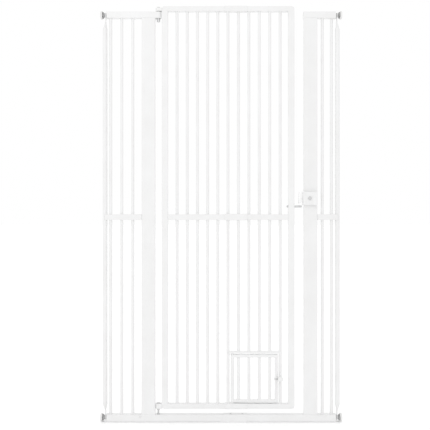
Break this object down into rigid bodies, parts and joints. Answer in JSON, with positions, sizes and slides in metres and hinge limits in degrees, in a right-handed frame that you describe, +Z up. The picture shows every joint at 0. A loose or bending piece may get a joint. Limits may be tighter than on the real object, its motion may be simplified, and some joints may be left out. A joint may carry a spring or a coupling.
{
  "type": "pet gate",
  "caption": "Extra-tall pressure-fitted pet gate: barred walk-through door between two barred side panels, with a hinged pet flap, lock and screw-out wall pads.",
  "frame": {"origin": "on the floor, midway between the two walls, in the middle plane of the gate", "axes": "+X across the doorway from the hinge side to the lock side, +Y through the doorway away from the lock button, +Z up"},
  "size_m": [1.046, 0.054, 1.8039],
  "materials": {
    "white_paint": "satin white powder coat",
    "grey_nylon": "mid grey moulded nylon",
    "zinc_steel": "dull zinc plate",
    "white_plastic": "white moulded plastic",
    "grey_plastic": "light grey moulded plastic",
    "pad_rubber": "pale grey rubber",
    "bright_plastic": "bright white acetal, whiter than the paint"
  },
  "bodies": {
    "left_frame": {"left_outer_stile": "white_paint", "left_panel_bars": "white_paint", "left_post": "white_paint", "left_top_rail": "white_paint", "left_mid_rail": "white_paint", "left_floor_rail": "white_paint", "left_collars": "grey_nylon", "top_hinge_bolt": "zinc_steel", "top_hinge_nut": "zinc_steel", "bottom_hinge_pin": "zinc_steel", "floor_rail_bolt": "white_paint"},
    "right_frame": {"right_outer_stile": "white_paint", "right_panel_bars": "white_paint", "right_post": "white_paint", "right_top_rail": "white_paint", "right_mid_rail": "white_paint", "right_floor_rail": "white_paint", "right_collars": "grey_nylon", "floor_sleeve": "white_paint", "floor_sleeve_screws": "zinc_steel", "lock_housing": "white_plastic", "lock_screws": "zinc_steel", "lock_button_spring": "zinc_steel"},
    "lock_latch": {"latch_fork": "bright_plastic"},
    "lock_push_button": {"lock_button": "grey_plastic"},
    "door_left": {"door_hinge_stile": "white_paint", "door_top_rail_left": "white_paint", "door_mid_rail_left": "white_paint", "door_bottom_rail_left": "white_paint", "door_bars_left": "white_paint", "door_hinge_arms": "white_paint", "hinge_bushes": "grey_plastic"},
    "door_right": {"door_latch_stile": "white_paint", "door_top_rail_right": "white_paint", "door_mid_rail_right": "white_paint", "door_bottom_rail_right": "white_paint", "door_bars_right": "white_paint", "flap_latch_bar": "white_paint", "flap_header": "white_paint", "door_sleeves": "white_paint", "door_sleeve_screws": "zinc_steel", "striker_rod": "zinc_steel", "striker_nut": "zinc_steel", "flap_pivots": "white_paint"},
    "pet_flap": {"flap_frame": "white_paint", "flap_catch": "grey_plastic"},
    "flap_turn_latch": {"flap_knob": "white_plastic", "flap_fingers": "white_plastic"},
    "wall_foot_top_left": {"spindle_top_left": "zinc_steel", "wall_pad_top_left": "pad_rubber"},
    "foot_nut_top_left": {"hand_nut_top_left": "grey_nylon"},
    "wall_foot_bottom_left": {"spindle_bottom_left": "zinc_steel", "wall_pad_bottom_left": "pad_rubber"},
    "foot_nut_bottom_left": {"hand_nut_bottom_left": "grey_nylon"},
    "wall_foot_top_right": {"spindle_top_right": "zinc_steel", "wall_pad_top_right": "pad_rubber"},
    "foot_nut_top_right": {"hand_nut_top_right": "grey_nylon"},
    "wall_foot_bottom_right": {"spindle_bottom_right": "zinc_steel", "wall_pad_bottom_right": "pad_rubber"},
    "foot_nut_bottom_right": {"hand_nut_bottom_right": "grey_nylon"}
  },
  "joints": [
    {"name": "frame_width", "type": "slide", "parent": "left_frame", "child": "right_frame", "axis": [1, 0, 0], "range_m": [0, 0.03]},
    {"name": "door_width", "type": "slide", "parent": "door_left", "child": "door_right", "axis": [1, 0, 0], "range_m": [0, 0.03]},
    {"name": "door_swing", "type": "hinge", "parent": "left_frame", "child": "door_left", "pos_m": [-0.2725, 0, 0.9], "axis": [0, 0, 1], "range_deg": [-90, 90]},
    {"name": "flap_swing", "type": "hinge", "parent": "door_right", "child": "pet_flap", "pos_m": [0.0484, 0, 0.1865], "axis": [0, 0, 1], "range_deg": [0, 90]},
    {"name": "flap_latch_turn", "type": "hinge", "parent": "door_right", "child": "flap_turn_latch", "pos_m": [0.2559, 0, 0.186], "axis": [0, -1, 0], "range_deg": [0, 90]},
    {"name": "latch_drop", "type": "slide", "parent": "right_frame", "child": "lock_latch", "axis": [0, 0, -1], "range_m": [0, 0.018]},
    {"name": "button_press", "type": "slide", "parent": "right_frame", "child": "lock_push_button", "axis": [0, 1, 0], "range_m": [0, 0.004], "stiffness_N_per_m": 300, "springref_m": -0.003, "deforming": ["lock_button_spring"]},
    {"name": "nut_turn_top_left", "type": "hinge", "parent": "left_frame", "child": "foot_nut_top_left", "pos_m": [-0.508, 0, 1.763], "axis": [1, 0, 0], "range_deg": [0, 3600]},
    {"name": "foot_extend_top_left", "type": "slide", "parent": "left_frame", "child": "wall_foot_top_left", "axis": [-1, 0, 0], "range_m": [0, 0.015]},
    {"name": "nut_turn_bottom_left", "type": "hinge", "parent": "left_frame", "child": "foot_nut_bottom_left", "pos_m": [-0.508, 0, 0.018], "axis": [1, 0, 0], "range_deg": [0, 3600]},
    {"name": "foot_extend_bottom_left", "type": "slide", "parent": "left_frame", "child": "wall_foot_bottom_left", "axis": [-1, 0, 0], "range_m": [0, 0.015]},
    {"name": "nut_turn_top_right", "type": "hinge", "parent": "right_frame", "child": "foot_nut_top_right", "pos_m": [0.508, 0, 1.763], "axis": [-1, 0, 0], "range_deg": [0, 3600]},
    {"name": "foot_extend_top_right", "type": "slide", "parent": "right_frame", "child": "wall_foot_top_right", "axis": [1, 0, 0], "range_m": [0, 0.015]},
    {"name": "nut_turn_bottom_right", "type": "hinge", "parent": "right_frame", "child": "foot_nut_bottom_right", "pos_m": [0.508, 0, 0.018], "axis": [-1, 0, 0], "range_deg": [0, 3600]},
    {"name": "foot_extend_bottom_right", "type": "slide", "parent": "right_frame", "child": "wall_foot_bottom_right", "axis": [1, 0, 0], "range_m": [0, 0.015]}
  ],
  "couplings": [
    {"joint": "door_width", "follows": "frame_width", "ratio": 1},
    {"joint": "nut_turn_top_left", "follows": "foot_extend_top_left", "rad_per_m": 4188.8},
    {"joint": "nut_turn_bottom_left", "follows": "foot_extend_bottom_left", "rad_per_m": 4188.8},
    {"joint": "nut_turn_top_right", "follows": "foot_extend_top_right", "rad_per_m": 4188.8},
    {"joint": "nut_turn_bottom_right", "follows": "foot_extend_bottom_right", "rad_per_m": 4188.8}
  ]
}
